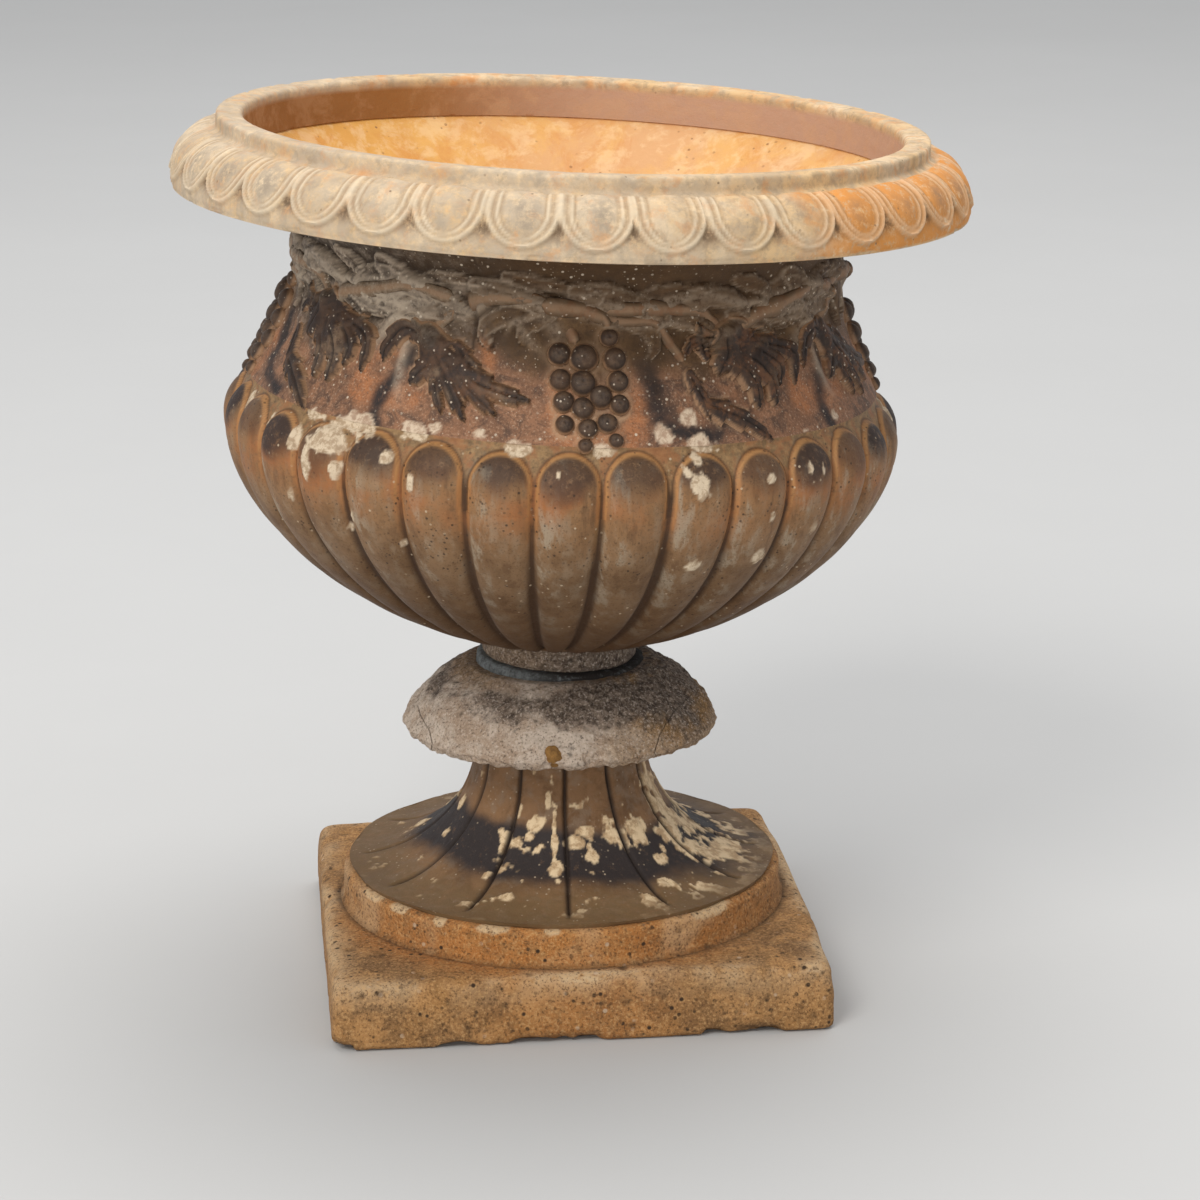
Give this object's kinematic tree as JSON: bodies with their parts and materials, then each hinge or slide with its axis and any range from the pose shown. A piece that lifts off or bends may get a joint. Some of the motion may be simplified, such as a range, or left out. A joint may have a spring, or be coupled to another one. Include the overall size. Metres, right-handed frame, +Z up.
{
  "type": "terracotta garden urn",
  "caption": "Leaning pedestal garden urn: wide gadrooned bowl with vine frieze and egg-moulded rim on a fluted socle and square plinth.",
  "frame": {"origin": "centre of the plinth's underside, on the axis of its drain channel", "axes": "+Z up along the pedestal; the plinth's front side faces -Y; the bowl leans towards +X"},
  "size_m": [0.6381, 0.638, 0.7112],
  "materials": {
    "ochre_clay": "matt",
    "sooted_clay": "matt",
    "lime_mortar": "rough",
    "crumbly_clay": "rough",
    "ochre_mortar": "rough",
    "grey_mortar": "rough",
    "burnt_clay": "matt",
    "cream_clay": "matt",
    "blackened_clay": "matt"
  },
  "bodies": {
    "pedestal": {"plinth": "ochre_clay", "foot_ring": "ochre_clay", "socle": "sooted_clay", "stem_mortar": "lime_mortar", "collar": "crumbly_clay", "collar_chip_left": "crumbly_clay", "collar_chip_right": "crumbly_clay", "repair_patch": "ochre_mortar", "bedding_wedge": "grey_mortar"},
    "bowl": {"bowl_foot": "crumbly_clay", "bowl_bottom": "sooted_clay", "bowl_belly": "sooted_clay", "frieze_wall": "burnt_clay", "rim": "cream_clay", "vine_stem_front": "blackened_clay", "vine_stem_right": "blackened_clay", "vine_stem_back": "blackened_clay", "vine_stem_left": "blackened_clay", "vine_leaves_front": "blackened_clay", "vine_leaves_right": "blackened_clay", "vine_leaves_back": "blackened_clay", "vine_leaves_left": "blackened_clay", "grape_bunch_front": "blackened_clay", "grape_bunch_right": "blackened_clay", "grape_bunch_back": "blackened_clay", "grape_bunch_left": "blackened_clay"}
  },
  "joints": [
    {"name": "bowl_lift", "type": "slide", "parent": "pedestal", "child": "bowl", "axis": [0, 0, 1], "range_m": [0, 0.12]}
  ]
}
